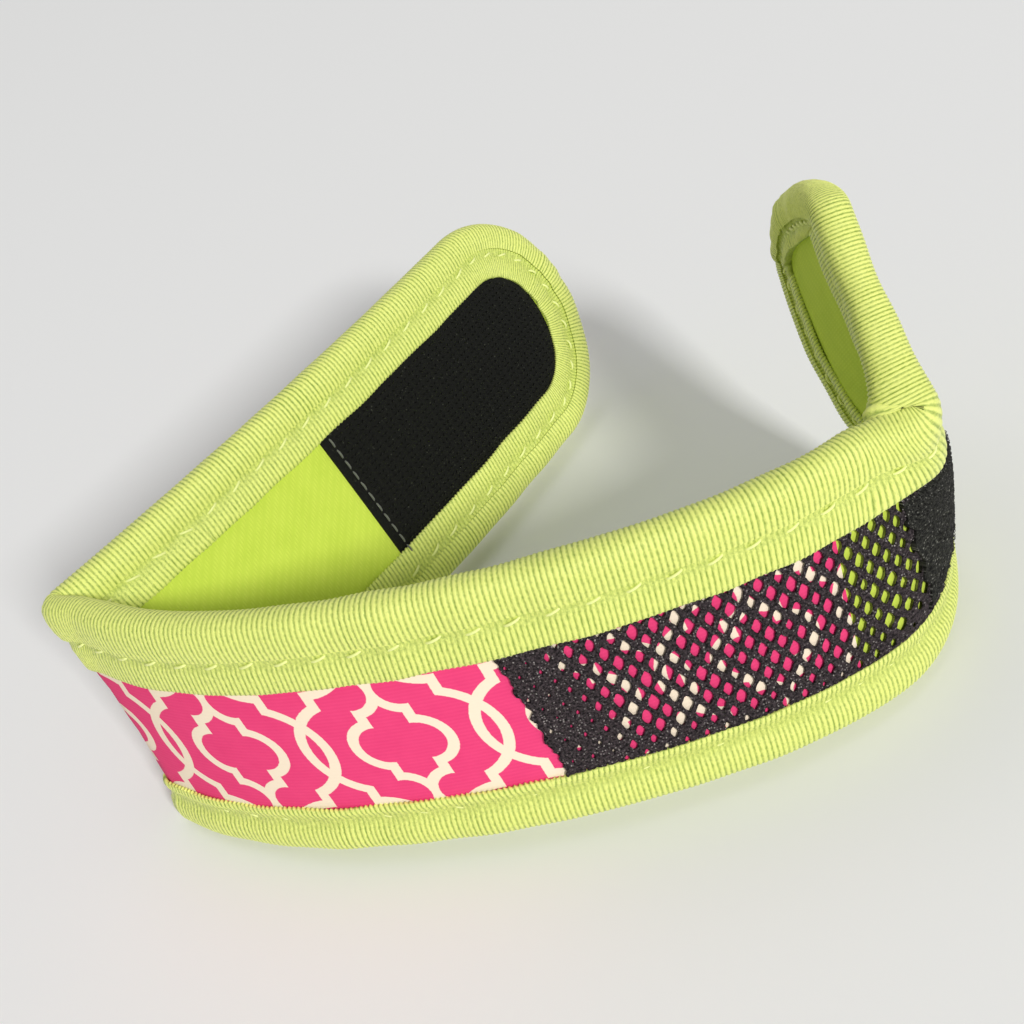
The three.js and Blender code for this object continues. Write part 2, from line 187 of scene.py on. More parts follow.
@dataclass
class Strap:
    """The strip's middle surface, ruled between its upper and lower edge.

    The front is a curve whose curvature falls to its middle and rises again. The left fold and
    the right bend are Hermite curves between the front's edges and the wings' edges.
    """
    half: float = 20.0
    front_length: float = 117.4
    curvatures: tuple[float, float, float] = (0.0223, 0.0074, 0.03)
    front_tilt: float = -7.4
    front_middle: tuple[float, float, float] = (0.0, -1.0, 20.0)
    fold_length: float = 4.5
    bend_from: float = 105.0
    bend_length: float = 26.0
    bend_into_wing: float = 10.0
    bend_belly: float = 2.9
    belly_after: float = 19.0
    belly_width: float = 9.5
    belly_middle: float = -6.0
    belly_reach: float = 26.0
    left: Wing = Wing((0.1, 3.9, -0.5), 39.4, 20.2, 3.7, -0.0033, -1, 101.9, 18.4, 0.041)
    right: Wing = Wing((1.5, 6.5, -0.9), 105.8, -9.4, 44.7, -0.0066, 1, 44.2, 9.0, -0.1165)
    left_pivot_offset: tuple[float, float] = (-0.8, 1.9)
    shift: Array = field(default_factory=lambda: np.zeros(3))

    def __post_init__(self) -> None:
        """Walk the front's middle line once and keep it as a table."""
        s = np.linspace(0, self.front_length, 941)
        left, middle, right = self.curvatures
        k = middle + (left - middle) * np.clip(1 - 3 * s / self.front_length, 0, 1)
        k += (right - middle) * np.clip(3 * s / self.front_length - 2, 0, 1)
        ds = s[1] - s[0]
        turn = np.concatenate([[0], np.cumsum((k[1:] + k[:-1]) / 2 * ds)])
        turn -= turn[len(s) // 2]
        mid = (turn[1:] + turn[:-1]) / 2
        x = np.concatenate([[0], np.cumsum(np.cos(mid) * ds)])
        y = np.concatenate([[0], np.cumsum(np.sin(mid) * ds)])
        self._s = s
        self._front = np.stack([x - x[len(s) // 2], y - y[len(s) // 2]], axis=1)
        self._tilt = rotation("X", self.front_tilt)
        self._left_start = self.front_mid(np.array(0.0)) + np.array(self.left.offset)
        self._right_start = self.front_mid(np.array(self.front_length)) + np.array(self.right.offset)

    def front_mid(self, s: Array) -> Array:
        """Points of the front's middle line at the distances s."""
        x = np.interp(s, self._s, self._front[:, 0])
        y = np.interp(s, self._s, self._front[:, 1])
        local = np.stack([x, y, np.zeros_like(x)], axis=-1)
        return local @ self._tilt.T + np.array(self.front_middle)

    @property
    def left_pivot(self) -> Array:
        """The left fold's axis in plan."""
        return self.front_mid(np.array(0.0))[:2] + np.array(self.left_pivot_offset)

    @property
    def bend_to(self) -> float:
        """Where the right bend ends, along the strip."""
        return self.bend_from + self.bend_length

    @property
    def right_end(self) -> float:
        """The right tip, along the strip."""
        return self.bend_to + self.right.length - self.bend_into_wing

    @property
    def left_end(self) -> float:
        """The left tip, along the strip."""
        return -self.fold_length - self.left.length

    def edge(self, u: Array, sign: float) -> Array:
        """Points of the upper (sign 1) or lower (-1) edge, or between them for a smaller sign."""
        step = 0.25
        front_across = self._tilt[:, 2] * self.half * sign
        left_across = self.left.across * self.half * sign
        right_across = self.right.across * self.half * sign

        def front(s: Array) -> Array:
            return self.front_mid(s) + front_across

        def left(s: Array) -> Array:
            return self.left.middle(s, self._left_start) + left_across

        def right(s: Array) -> Array:
            return self.right.middle(s, self._right_start) + right_across

        def joined(t: Array, ends: tuple[Array, Array], ways: tuple[Array, Array], pull: float) -> Array:
            t = t[..., None]
            reach = np.linalg.norm(ends[1] - ends[0]) * pull
            return ((2 * t**3 - 3 * t**2 + 1) * ends[0] + (t**3 - 2 * t**2 + t) * reach * ways[0]
                    + (3 * t**2 - 2 * t**3) * ends[1] + (t**3 - t**2) * reach * ways[1])

        at = np.array
        fold = joined(
            np.clip(u / self.fold_length + 1, 0, 1), (left(at(0.0)), front(at(0.0))),
            (unit(left(at(0.0)) - left(at(step))), unit(front(at(step)) - front(at(0.0)))), 1.25)
        into = self.bend_into_wing
        bend = joined(
            np.clip((u - self.bend_from) / self.bend_length, 0, 1),
            (front(at(self.bend_from)), right(at(into))),
            (unit(front(at(self.bend_from)) - front(at(self.bend_from - step))),
             unit(right(at(into + step)) - right(at(into)))), 1.15)
        u3 = np.asarray(u)[..., None]
        points = front(np.clip(u, 0, self.bend_from))
        points = np.where(u3 < 0, fold, points)
        points = np.where(u3 < -self.fold_length, left(np.maximum(-self.fold_length - u, 0)), points)
        points = np.where(u3 > self.bend_from, bend, points)
        return np.where(u3 > self.bend_to, right(np.maximum(u - self.bend_to + into, 0)), points)

    def surface(self, u: Array, v: Array, level: Array) -> tuple[Array, Array]:
        """Points of the strip and its outward normals there.

        A point is on the ruling between the edges at u, v from its middle, moved by level along
        the normal, which is the ruling's slope along u crossed with its direction. The bend's
        belly adds belly * exp(-((u - its middle) / width)^2) * (1 - ((v - its middle) / reach)^2).
        """
        u, v, level = np.broadcast_arrays(*(np.asarray(a, dtype=float) for a in (u, v, level)))
        flat_u, place = np.unique(np.round(u.ravel(), 5), return_inverse=True)
        share = (v / self.half)[..., None]
        step = 0.08

        def ruled(stations: Array) -> tuple[Array, Array]:
            top = self.edge(stations, 1.0)[place].reshape(u.shape + (3,))
            bottom = self.edge(stations, -1.0)[place].reshape(u.shape + (3,))
            return (top + bottom) / 2 + (top - bottom) / 2 * share, top - bottom

        point, across = ruled(flat_u)
        along = ruled(flat_u + step)[0] - ruled(flat_u - step)[0]
        normal = unit(np.cross(along, across))
        belly = self.bend_belly * bump(u, self.bend_from + self.belly_after, self.belly_width)
        belly = belly * np.clip(1 - ((v - self.belly_middle) / self.belly_reach) ** 2, 0, 1)
        return point + normal * (level + belly)[..., None] + self.shift, normal


# ---- sheets, tape and threads --------------------------------------------------------------------

class Span(Enum):
    """The three runs that the long pieces are cut into, between stiff places of the strip."""
    TAB = "tab"
    LEFT = "left"
    RIGHT = "right"


class Face(Enum):
    """The strip's two faces."""
    OUTER = 1
    INNER = -1


@dataclass
class Layout:
    """Where pieces begin and end on the strip, shared by all of them."""
    strap: Strap
    tab_cut: float = -25.0
    front_cut: float = 58.05
    upper_leaf: float = 11.0
    lower_leaf: float = 7.8
    inner_leaf: float = 8.9
    upper_seam: float = 4.6
    lower_seam: float = 2.0
    inner_seam: float = 3.7
    tuck: float = 1.6
    tab_flex: float = 42.4

    @property
    def window(self) -> tuple[float, float]:
        """The lower and upper hem of the tape on the outside, across the strip."""
        return -self.strap.half + self.lower_leaf, self.strap.half - self.upper_leaf

    def ends(self, span: Span) -> tuple[float, float]:
        """The first and last station of a run."""
        strap = self.strap
        return {Span.TAB: (strap.left_end, self.tab_cut), Span.LEFT: (self.tab_cut, self.front_cut),
                Span.RIGHT: (self.front_cut, strap.right_end)}[span]

    def follow(self, piece: bpy.types.Object, span: Span) -> None:
        """Bake a piece's placement into its mesh."""
        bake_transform(piece)

    def tip(self, span: Span) -> tuple[float, float, float, float]:
        """A run's rounded end: where it begins, its length, its skew and its direction."""
        if span is Span.TAB:
            wing = self.strap.left
            return self.strap.left_end + wing.tip_length, wing.tip_length, wing.tip_skew, -1.0
        wing = self.strap.right
        return self.strap.right_end - wing.tip_length, wing.tip_length, wing.tip_skew, 1.0

    def round_end(self, span: Span, inset: float, phi: Array, half: float) -> Array:
        """The half ellipse of a run's end at an inset: where along the strip at the angles phi."""
        begin, length, skew, way = self.tip(span)
        v = half * np.sin(phi)
        reach = np.maximum(length - inset, 2.0)
        return begin + way * (reach * np.cos(phi) + skew * v * np.cos(phi))


# ---- the sheets ---------------------------------------------------------------------------------------

@dataclass
class Sheet:
    """A flat layer of cloth or foam, as a closed thin slab between two levels of the strip.

    Its points are a grid: along the run, and across it as half * sin(phi), so that a rounded
    end is a half ellipse. Slack swells the slab in its middle by slack * cos(phi)^2, and a proud
    cloth steps up by its own height where no tape covers its border.
    """
    layout: Layout
    name: str
    face: Face
    levels: tuple[float, float]
    low: float
    high: float
    spacing: float = 1.2
    slack: float = 0.0
    grain: float = 0.0
    inset: float = 2.0
    proud: float = 0.0

    def build(self, span: Span, start: float | None = None, stop: float | None = None,
              ragged: Callable[[Array], Array] | None = None) -> bpy.types.Object:
        """Make the slab of one run.

        Args:
            span: the run that it belongs to.
            start: its first station, or None for the run's own.
            stop: its last station, or None for the run's own.
            ragged: how far its first edge wanders, at given places across.

        Returns:
            The finished object.
        """
        layout = self.layout
        first, last = layout.ends(span)
        first = first if start is None else start
        last = last if stop is None else stop
        half, middle = (self.high - self.low) / 2, (self.high + self.low) / 2
        across = max(int(2 * half / self.spacing), 8)
        phi = np.linspace(-math.pi / 2, math.pi / 2, across + 1) * 0.985
        v = half * np.sin(phi) / math.sin(phi[-1]) + middle
        begin = np.full_like(v, first) + (ragged(v) if ragged else 0.0)
        end = np.full_like(v, last)
        if span is Span.TAB and start is None:
            begin = layout.round_end(span, self.inset, phi, half)
        if span is Span.RIGHT and stop is None:
            end = layout.round_end(span, self.inset, phi, half)
        rows = max(int((last - first) / self.spacing), 2)
        share = np.linspace(0, 1, rows + 1)[:, None]
        u = begin + (end - begin) * share
        v = np.broadcast_to(v, u.shape)
        swell = self.slack * np.cos(phi) ** 2
        rough = self.grain * waves(u * 1.7 + v * 0.9, 5, 0.7, 2.4) * waves(v * 1.3 - u, 8, 0.8, 2.1)
        border = half - np.abs(v - middle)
        if span is Span.TAB and start is None:
            border = np.minimum(border, u - begin)
        if span is Span.RIGHT and stop is None:
            border = np.minimum(border, end - u)
        bare = smoothstep(border, 1.7, 3.0)
        sign = self.face.value
        outer, _ = layout.strap.surface(u, v, sign * (self.levels[1] + (swell + rough + self.proud) * bare))
        inner, _ = layout.strap.surface(u, v, sign * (self.levels[0] + swell * 0.6))
        ring = np.concatenate([outer, inner[:, ::-1]], axis=1)
        uv = np.concatenate([np.stack([u, v], -1), np.stack([u, v], -1)[:, ::-1]], axis=1)
        count = ring.shape[1]
        faces = grid_faces(rows + 1, count, wrap=True).tolist()
        for row in (0, rows):
            left = row * count + np.arange(across)
            right = row * count + count - 1 - np.arange(across)
            quads = np.stack([left, right, right - 1, left + 1], axis=-1)
            faces += (quads if row == 0 else quads[:, ::-1]).tolist()
        return make_mesh(self.name, ring.reshape(-1, 3), faces, uv.reshape(-1, 2))


@dataclass
class Binding:
    """Ribbed tape folded over the strip's edge and sewn through near both hems.

    Its section is a smooth curve from the outer hem over the edge to the inner hem. Every rib
    raises it by height * |cos(pi p / pitch)|^0.8, with p the distance along the edge. The ribs
    lean near the hems and wander a little, and they fade in the seam's groove.
    """
    layout: Layout
    rib_pitch: float = 0.7
    rib_height: float = 0.16
    samples: int = 5
    stitch_pitch: float = 4.9
    columns: int = 37
    grooves: tuple[float, float] = (0.222, 0.778)
    groove_depth: float = 0.16
    pucker_height: float = 0.3
    lap_from: float = 128.0
    lap_height: float = 0.3
    bunch_after: float = 22.0
    bunch_width: float = 9.0

    # Level, then inset: shares of the outer leaf and the inner leaf, millimetres, and the share of
    # the seam's distance from the hem that is taken off.
    OUTSIDE = ((1.6, 1, 0, 0.0, 0), (1.95, 1, 0, 0.05, 0), (2.08, 1, 0, -0.6, 0), (2.04, 1, 0, 1.15, 1),
               (1.78, 1, 0, 0.0, 1), (2.02, 1, 0, -1.3, 1), (2.5, 0.28, 0, 0.8, 0), (2.3, 0.12, 0, 0.3, 0),
               (1.6, 0, 0, 0.35, 0), (0.0, 0, 0, -0.15, 0), (-1.6, 0, 0, 0.35, 0), (-2.3, 0, 0.14, 0.25, 0),
               (-2.45, 0, 0.3, 0.6, 0), (-2.02, 0, 1, -1.3, 1), (-1.74, 0, 1, 0.0, 1), (-2.0, 0, 1, 1.15, 1),
               (-2.06, 0, 1, -0.6, 0), (-1.92, 0, 1, 0.05, 0), (-1.58, 0, 1, 0.0, 0))
    INSIDE = ((-1.48, 0, 1, -0.3, 0), (-1.45, 0, 0.3, 1.2, 0), (0.0, 0, 0, 1.2, 0), (1.45, 0.3, 0, 1.2, 0),
              (1.48, 1, 0, -0.3, 0))

    def section(self) -> Array:
        """The section's control rows at even steps, by a Catmull-Rom curve through OUTSIDE."""
        knots = np.array(self.OUTSIDE)
        knots = np.concatenate([2 * knots[:1] - knots[1:2], knots, 2 * knots[-1:] - knots[-2:-1]])
        t = np.linspace(0, len(self.OUTSIDE) - 1, self.columns)
        i = np.minimum(t.astype(int), len(self.OUTSIDE) - 2)
        f = (t - i)[:, None]
        a, b, c, d = knots[i], knots[i + 1], knots[i + 2], knots[i + 3]
        curve = 0.5 * (2 * b + (c - a) * f + (2 * a - 5 * b + 4 * c - d) * f**2
                       + (3 * b - a - 3 * c + d) * f**3)
        return np.concatenate([curve, np.array(self.INSIDE)])

    def outline(self, span: Span, upper: bool | None) -> tuple[Array, Array]:
        """The run's edge as dense stations: where along the strip, and the turn round its end."""
        first, last = self.layout.ends(span)
        step = 0.05
        if upper is not None:
            u = np.arange(first, last + step / 2, step)
            return u, np.full_like(u, math.pi / 2 if upper else -math.pi / 2)
        begin, _, _, way = self.layout.tip(span)
        cut = last if way < 0 else first
        straight = np.linspace(cut, begin, int(abs(begin - cut) / step))
        turn = np.linspace(math.pi / 2, -math.pi / 2, 900)
        phi = np.concatenate([np.full_like(straight, math.pi / 2), turn[1:-1],
                              np.full_like(straight, -math.pi / 2)])
        u = np.concatenate([straight, np.full(len(turn) - 2, begin), straight[::-1]])
        return u, phi

    def place(self, span: Span, u: Array, phi: Array, inset: Array, level: Array) -> tuple[Array, Array]:
        """Points and normals of the strip at an inset from its edge."""
        _, length, skew, way = self.layout.tip(span if span is not Span.LEFT else Span.TAB)
        v = (self.layout.strap.half - inset) * np.sin(phi)
        round_u = np.maximum(length - inset, 2.0 - 0.05 * inset) * np.cos(phi) + skew * v * np.cos(phi)
        strap = self.layout.strap
        near_fold = bump(u, -strap.fold_length / 2, 3.5)
        bunched = bump(u, strap.bend_from + self.bunch_after, self.bunch_width) * np.clip(np.sin(phi), 0, 1)
        bunched = bunched * (1 - smoothstep(inset, 5.0, 9.0))
        v = v + 0.4 * bunched
        inner = level * (1 - 0.3 * near_fold) * (1 + 1.75 * bunched)
        level = np.where(level < 0, inner, level * (1 - 0.18 * bunched))
        return self.layout.strap.surface(u + way * round_u, v, level)

    def stations(self, span: Span, upper: bool | None) -> tuple[Array, Array, Array]:
        """Even steps from rib to rib, closer round the right end: u, the turn, and the ribs passed."""
        u, phi = self.outline(span, upper)
        edge, _ = self.place(span, u, phi, np.full_like(u, 0.4), np.zeros_like(u))
        steps = np.linalg.norm(np.diff(edge, axis=0), axis=1)
        closer = 1 + 0.35 * smoothstep(u, 108.0, 124.0)
        p = np.concatenate([[0], np.cumsum(steps * (closer[1:] + closer[:-1]) / 2)])
        ribs = max(round(p[-1] / self.rib_pitch), 1)
        steps = np.linspace(0, p[-1], ribs * self.samples + 1)
        return np.interp(steps, p, u), np.interp(steps, p, phi), steps / p[-1] * ribs

    @staticmethod
    def round_ends(u: Array, phi: Array, way: float) -> Array:
        """A distance that runs along the strip and round its ends, for handwork that runs on."""
        return u + way * 18 * (math.pi / 2 - np.abs(phi)) + 40 * np.sin(phi)

    def seam(self, phi: Array) -> Array:
        """The outer seam's distance from its hem round the end."""
        upper, lower = self.layout.upper_seam, self.layout.lower_seam
        return (upper + lower) / 2 + (upper - lower) / 2 * np.sin(phi)

    def leaf(self, phi: Array) -> Array:
        """The outer leaf's width round the end: from the upper to the lower leaf with sin(phi)."""
        upper, lower = self.layout.upper_leaf, self.layout.lower_leaf
        return (upper + lower) / 2 + (upper - lower) / 2 * np.sin(phi)

    def build(self, name: str, span: Span, upper: bool | None = None) -> bpy.types.Object:
        """Make the tape of one run, or of its upper or lower edge alone.

        Args:
            name: the piece's name.
            span: the run that it binds.
            upper: True or False for one edge alone, None for both and the round end.

        Returns:
            The finished object.
        """
        u, phi, ribs = self.stations(span, upper)
        section = self.section()
        outside = len(section) - len(self.INSIDE)
        p = (ribs * self.rib_pitch)[:, None]
        leaf = self.leaf(phi)[:, None]
        way = -1.0 if span is Span.TAB else 1.0
        run = self.round_ends(u, phi, way)[:, None]
        seam = section[:, 1] * self.seam(phi)[:, None] + section[:, 2] * self.layout.inner_seam
        hem = 0.13 * np.sin(2 * math.pi * ribs + 0.6)[:, None] + 0.07 * waves(run, 3, 7, 23)
        inset = section[:, 1] * leaf + section[:, 2] * self.layout.inner_leaf
        inset = inset + section[:, 3] - section[:, 4] * seam
        level = np.broadcast_to(section[:, 0], inset.shape).copy()
        at_hem = np.zeros(len(section))
        at_hem[:4], at_hem[outside - 4:outside] = (1, 1, 0.9, 0.5), (0.5, 0.9, 1, 1)
        inset = inset + hem * at_hem
        place = np.arange(len(section)) / (outside - 1)
        groove = sum(bump(place, middle, 0.036) for middle in self.grooves)
        pucker = np.abs(np.sin(math.pi * run / self.stitch_pitch))
        level = level - np.sign(level) * groove * (self.groove_depth - self.pucker_height * pucker) * 0.6
        level = level + np.sign(section[:, 0]) * 0.1 * waves(run + 3 * place, 11, 9, 33)
        lower = (1 - np.sin(phi[:, None])) / 2 * (section[:, 0] > 0)
        level = level - 0.05 * lower * groove
        if span is Span.RIGHT and upper is None:
            lap = smoothstep(-phi, 0.15, 0.2)[:, None] * smoothstep(run, self.lap_from, self.lap_from + 0.8)
            level = level + np.sign(section[:, 0]) * self.lap_height * lap * (place <= 1.0)
        slope_level = np.gradient(section[:, 0])
        slope_inset = np.gradient(inset, axis=1)
        size = np.sqrt(slope_level**2 + slope_inset**2)
        slant = 0.55 * (np.clip(0.19 - place, 0, 1) + np.clip(place - 0.81, 0, 1)) / 0.19
        phase = math.pi * (ribs[:, None] + slant + 0.05 * waves(run, 17, 3, 11))
        crest = np.abs(np.cos(phase)) ** 0.8
        relief = self.rib_height * crest * (1 - 0.6 * groove) * (place <= 1.0)
        level = level - relief * slope_inset / size
        inset = inset + relief * slope_level / size
        points, _ = self.place(span, u[:, None], phi[:, None], inset, level)
        rows, columns = level.shape
        faces = grid_faces(rows, columns, wrap=True).tolist()
        for row in (0, rows - 1):
            ring = row * columns + np.arange(columns)
            faces += self._cap(ring, outside, row == 0)
        along = np.broadcast_to(p, level.shape)
        round_it = np.broadcast_to(np.cumsum(size.mean(axis=0)), level.shape)
        uv = np.stack([along, round_it], axis=-1)
        # Painted light: the tape's colour follows this value, lit on the rib crests at 1 and shaded in the
        # valleys at 0, evened to a middle tone in the seam's grooves.
        calm = 0.7 * sum(bump(place, middle, 0.055) for middle in self.grooves)
        painted_rib_light = crest * (1 - calm) + 0.5 * calm
        return make_mesh(name, points.reshape(-1, 3), faces, uv.reshape(-1, 2), painted_rib_light.ravel())

    @staticmethod
    def _cap(ring: Array, outside: int, first: bool) -> list[list[int]]:
        """Close the cut end of the tape between its outside and its inside."""
        outer, inner = ring[:outside], ring[outside:][::-1]
        share = np.round(np.arange(len(outer)) / (len(outer) - 1) * (len(inner) - 1)).astype(int)
        faces = []
        for i in range(len(outer) - 1):
            a, b, c, d = outer[i], outer[i + 1], inner[share[i + 1]], inner[share[i]]
            face = [a, b, c] if c == d else [a, b, c, d]
            faces.append(face[::-1] if first else face)
        return faces


@dataclass
class Stitching:
    """The thread dashes in the binding's grooves: short tapered arcs of round thread."""
    binding: Binding
    radius: float = 0.21
    length: float = 2.3
    lean: float = 0.7
    rise: float = 0.16

    def build(self, name: str, span: Span, face: Face, upper: bool | None = None) -> bpy.types.Object:
        """Make one run of stitches on one face."""
        binding = self.binding
        u, phi, ribs = binding.stations(span, upper)
        p = ribs * binding.rib_pitch
        count = max(round(p[-1] / binding.stitch_pitch), 1)
        centres = (np.arange(count) + 0.5) * p[-1] / count
        draw = np.random.default_rng(31 + len(centres) + face.value)
        centres = centres + draw.normal(0, 0.07, len(centres))
        t = np.linspace(-1, 1, 7)
        at = centres[:, None] + t * self.length / 2
        su, sphi = np.interp(at, p, u), np.interp(at, p, phi)
        leaf = binding.leaf(sphi) if face is Face.OUTER else binding.layout.inner_leaf
        lean = self.lean + draw.normal(0, 0.08, (len(centres), 1))
        seam = binding.seam(sphi) if face is Face.OUTER else binding.layout.inner_seam
        inset = leaf - seam - t * lean / 2
        level = 1.9 + self.rise * (1 - t**2) - 0.34 * t**4
        if face is Face.OUTER:
            level = level - 0.24 * (1 - np.sin(sphi))
        level = face.value * level
        core, normal = binding.place(span, su, sphi, inset, np.broadcast_to(level, su.shape))
        return thread_mesh(name, core, normal * face.value, self.radius * (1 - 0.35 * t**4))


def thread_mesh(name: str, core: Array, normal: Array, radius: Array, sides: int = 6) -> bpy.types.Object:
    """Many short threads as one object.

    Each is a tube about its core line: core + r (cos a N + sin a B), with N the cloth's normal
    and B across the thread. Its ends close on a point.
    """
    along = unit(np.gradient(core, axis=1))
    beside = unit(np.cross(along, normal))
    upward = np.cross(beside, along)
    a = np.linspace(0, 2 * math.pi, sides, endpoint=False)
    spoke = (np.cos(a)[:, None] * upward[:, :, None, :] + np.sin(a)[:, None] * beside[:, :, None, :])
    rings = core[:, :, None, :] + np.reshape(radius, (1, -1, 1, 1)) * spoke
    count, length = core.shape[:2]
    ends = core[:, [0, -1]] + along[:, [0, -1]] * np.array([-0.6, 0.6])[None, :, None] * float(np.max(radius))
    body = grid_faces(length, sides, wrap=True)
    side = np.arange(sides)
    after = (side + 1) % sides
    tube = length * sides
    start = np.stack([np.full(sides, tube), after, side], axis=-1)
    stop = np.stack([np.full(sides, tube + 1), side + tube - sides, after + tube - sides], axis=-1)
    block = tube + 2
    base = np.arange(count)[:, None, None] * block
    quads = (body[None] + base).reshape(-1, 4).tolist()
    threes = (np.concatenate([start, stop])[None] + base).reshape(-1, 3).tolist()
    points = np.concatenate([rings.reshape(count, -1, 3), ends], axis=1).reshape(-1, 3)
    return make_mesh(name, points, quads + threes)


@dataclass
class MeshOverlay:
    """A knitted mesh with diamond holes on a slanted square lattice, cut raw at its left edge.

    Each cell is a ring between its own rhombus and the hole's outline, which is a rounded
    rhombus, (x / w)^p + (y / h)^p = 1, a little uneven. The holes shrink towards the edges.
    """
    layout: Layout
    half_cell: tuple[float, float] = (1.31, 1.9)
    hole: tuple[float, float] = (0.67, 1.2)
    start_low: float = 60.6
    start_high: float = 56.9
    stop: float = 113.0
    level: float = 1.46
    corners: int = 16

    def raw_edge(self, v: Array) -> Array:
        """Where the overlay begins, across the strip: a slanted cut with frayed courses."""
        low, high = self.layout.window
        share = (v - low) / (high - low)
        line = self.start_low + (self.start_high - self.start_low) * share
        return line + 0.16 * waves(v, 41, 0.7, 1.6) + 0.2 * waves(v, 43, 2.0, 5.0)

    def hole_size(self, u: Array, v: Array) -> Array:
        """A hole's share of its full size: open in the middle, small at the raw and lower edges."""
        size = smoothstep(u + 0.25 * v, 63.0, 69.0) * (0.3 + 0.7 * smoothstep(v, -12.5, -6.5))
        size = size * (1 - 0.25 * smoothstep(u, 107.0, 112.0))
        return np.clip(0.27 + 0.73 * size + 0.13 * waves(u * 1.9 + v * 2.7, 23, 2.0, 9.0), 0.12, 1.02)

    def build(self, name: str) -> bpy.types.Object:
        """Make the overlay as one sheet of joined cells, with the yarn's thickness."""
        wide, tall = self.half_cell
        i = np.arange(math.floor(55 / wide), math.ceil(self.stop / wide))
        j = np.arange(-8, 7)
        grid_i, grid_j = (a.ravel() for a in np.meshgrid(i, j, indexing="ij"))
        keep = (grid_i + grid_j) % 2 == 0
        centre = np.stack([grid_i * wide, grid_j * tall + 0.02 * (grid_i * wide - 84)], axis=-1)[keep]
        inside = (centre[:, 0] > self.raw_edge(centre[:, 1]) - 0.8) & (centre[:, 0] < self.stop)
        inside &= (centre[:, 1] < 11.0) & (centre[:, 1] > -14.2)
        centre = centre[inside]
        side = np.arange(self.corners) * 4 / self.corners
        corner = np.array([[wide, 0.0], [0.0, tall], [-wide, 0.0], [0.0, -tall], [wide, 0.0]])
        begin, share = side.astype(int), (side % 1)[:, None]
        edge = corner[begin] * (1 - share) + corner[begin + 1] * share
        edge[:, 1] += 0.02 * edge[:, 0]
        a = np.arctan2(edge[:, 1], edge[:, 0])
        outline = np.linalg.norm(edge, axis=1)
        ways = edge / outline[:, None]
        power = 1.35
        open_to = (np.abs(np.cos(a) / self.hole[0]) ** power
                   + np.abs(np.sin(a) / self.hole[1]) ** power) ** (-1 / power)
        draw = np.random.default_rng(77)
        uneven = 1 + draw.normal(0, 0.06, (len(centre), self.corners))
        uneven = uneven + draw.normal(0, 0.06, (len(centre), 1))
        size = self.hole_size(centre[:, 0], centre[:, 1])[:, None]
        hole = size * open_to * uneven
        rings = []
        for share, rise in ((0.0, 0.03), (0.35, 0.16), (0.75, 0.15), (1.0, 0.0)):
            radius = outline * (1 - share) + np.minimum(hole, outline * 0.82) * share
            flat = centre[:, None] + ways * radius[..., None]
            rings.append(np.concatenate([flat, np.full(flat.shape[:2] + (1,), rise)], axis=-1))
        flat = np.stack(rings, axis=1)
        u, v, rise = flat[..., 0], flat[..., 1], flat[..., 2]
        u = np.maximum(u, self.raw_edge(v))
        knit = 0.05 * waves(u * 2.3 + v * 3.1, 61, 0.5, 1.3)
        low, high = self.layout.window
        bare = smoothstep(v, low - 0.5, low + 0.4) * (1 - smoothstep(v, high - 0.4, high + 0.5))
        level = self.level + bare * (0.42 + rise + knit * (rise > 0.02))
        points, _ = self.layout.strap.surface(u, v, level)
        cell = grid_faces(4, self.corners, wrap=True)
        faces = (cell[None] + np.arange(len(centre))[:, None, None] * 4 * self.corners).reshape(-1, 4)
        piece = make_mesh(name, points.reshape(-1, 3), faces, np.stack([u, v], -1).reshape(-1, 2))
        self._weld(piece)
        thick = piece.modifiers.new("yarn", "SOLIDIFY")
        thick.thickness, thick.offset = 0.24 * MM, -1.0
        return piece

    @staticmethod
    def _weld(piece: bpy.types.Object) -> None:
        """Join neighbouring cells along their shared outlines and drop degenerate edges."""
        work = bmesh.new()
        work.from_mesh(piece.data)
        bmesh.ops.remove_doubles(work, verts=work.verts, dist=0.02 * MM)
        bmesh.ops.dissolve_degenerate(work, edges=work.edges, dist=0.004 * MM)
        work.to_mesh(piece.data)
        work.free()


@dataclass
class Pile:
    """Short stiff or soft yarns standing on a patch: hooks in rows, or loops at random.

    A yarn is an arc in the plane of the cloth's normal. A loop rises by height * sin(pi t) and
    runs by reach * (t - 1/2). A hook turns by 2.2 radians in all: it rises by
    height * sin(2.2 t) / sin(2.2 / 1.4) and runs by reach * (1 - cos(2.2 t)) / 2.
    """
    HOOK_TURN: ClassVar[float] = 2.2

    layout: Layout
    face: Face
    base: float
    height: float
    radius: float
    reach: float

    def build(self, name: str, u: Array, v: Array, turn: Array, hooked: bool) -> bpy.types.Object:
        """Make the yarns that stand at u, v, each turned by its own angle."""
        t = np.linspace(0, 1, 6)
        if hooked:
            rise = self.height * np.sin(t * self.HOOK_TURN) / math.sin(self.HOOK_TURN / 1.4)
            forward = self.reach * (1 - np.cos(t * self.HOOK_TURN)) / 2
        else:
            rise = self.height * np.sin(math.pi * t)
            forward = self.reach * (t - 0.5)
        su = u[:, None] + np.cos(turn)[:, None] * forward
        sv = v[:, None] + np.sin(turn)[:, None] * forward
        level = self.face.value * (self.base + rise)
        core, _ = self.layout.strap.surface(su, sv, np.broadcast_to(level, su.shape))
        side, _ = self.layout.strap.surface(su - np.sin(turn)[:, None], sv + np.cos(turn)[:, None],
                                            np.broadcast_to(level, su.shape))
        return thread_mesh(name, core, unit(side - core), np.full(len(t), self.radius), sides=4)


# ---- finishes ------------------------------------------------------------------------------------------

def linear(colour: str) -> tuple[float, float, float, float]:
    """Turn an sRGB hex colour such as "#f0457f" into linear red, green, blue and alpha."""
    parts = [int(colour[i:i + 2], 16) / 255 for i in (1, 3, 5)]
    r, g, b = (c / 12.92 if c <= 0.04045 else ((c + 0.055) / 1.055) ** 2.4 for c in parts)
    return r, g, b, 1.0


